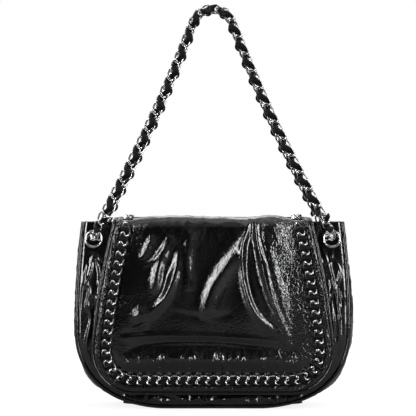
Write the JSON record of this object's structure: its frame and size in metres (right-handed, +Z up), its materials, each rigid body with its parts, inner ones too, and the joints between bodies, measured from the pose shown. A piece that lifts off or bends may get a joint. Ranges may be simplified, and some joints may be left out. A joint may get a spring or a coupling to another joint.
{
  "type": "chain shoulder bag",
  "caption": "Rounded shoulder bag in glossy crinkled leather with a fold-over flap edged by laced chain and a laced chain strap through metal eyelets.",
  "frame": {"origin": "middle of the flat underside of the base, on the surface the bag stands on", "axes": "+Z up through the strap's top, +Y to the back of the bag, -Y to the flap, +X to the right seen from the front"},
  "size_m": [0.3, 0.1059, 0.4437],
  "materials": {
    "patent_leather": "glossy crinkled patent",
    "lace_leather": "satin leather lace",
    "silver_metal": "polished silver tone",
    "snap_steel": "plain steel",
    "lining_cloth": "woven lining",
    "board": "stiff board"
  },
  "bodies": {
    "bag": {"front_panel": "patent_leather", "back_panel": "patent_leather", "base_panel": "patent_leather", "left_gusset": "patent_leather", "right_gusset": "patent_leather", "front_piping": "patent_leather", "back_piping": "patent_leather", "lining": "lining_cloth", "mouth_facing": "patent_leather", "inner_pocket": "lining_cloth", "base_board": "board", "flap_seam_tab": "patent_leather", "snap_socket": "snap_steel", "snap_backing": "snap_steel", "left_bridge_chain": "silver_metal", "right_bridge_chain": "silver_metal", "eyelet_left_front": "silver_metal", "eyelet_left_back": "silver_metal", "eyelet_right_front": "silver_metal", "eyelet_right_back": "silver_metal", "eyelet_washer_left_front": "silver_metal", "eyelet_washer_left_back": "silver_metal", "eyelet_washer_right_front": "silver_metal", "eyelet_washer_right_back": "silver_metal"},
    "flap_top": {"flap_top_panel": "patent_leather", "flap_top_lining": "patent_leather", "flap_top_trim_chain": "silver_metal"},
    "flap_front": {"flap_panel": "patent_leather", "flap_border": "patent_leather", "flap_lining": "patent_leather", "flap_piping": "patent_leather", "flap_trim_chain": "silver_metal", "flap_trim_lace": "lace_leather", "snap_stud": "snap_steel"},
    "strap_front": {"strap_front_chain": "silver_metal", "strap_front_lace": "lace_leather"},
    "strap_back": {"strap_back_chain": "silver_metal", "strap_back_lace": "lace_leather"}
  },
  "joints": [
    {"name": "flap_hinge", "type": "hinge", "parent": "bag", "child": "flap_top", "pos_m": [0, 0.03055, 0.20555], "axis": [-1, 0, 0], "range_deg": [0, 220], "deforming": ["strap_front_chain", "strap_front_lace", "strap_back_chain", "strap_back_lace"]},
    {"name": "flap_fold", "type": "hinge", "parent": "flap_top", "child": "flap_front", "pos_m": [0, -0.03555, 0.20555], "axis": [-1, 0, 0], "range_deg": [0, 90]},
    {"name": "strap_front_swing", "type": "hinge", "parent": "bag", "child": "strap_front", "pos_m": [0, -0.03976, 0.2115], "axis": [-1, 0, 0], "range_deg": [-160, 0]},
    {"name": "strap_back_swing", "type": "hinge", "parent": "bag", "child": "strap_back", "pos_m": [0, 0.03976, 0.2115], "axis": [1, 0, 0], "range_deg": [-160, 0]}
  ],
  "couplings": [
    {"joint": "flap_fold", "follows": "flap_hinge", "ratio": 0.40909}
  ]
}
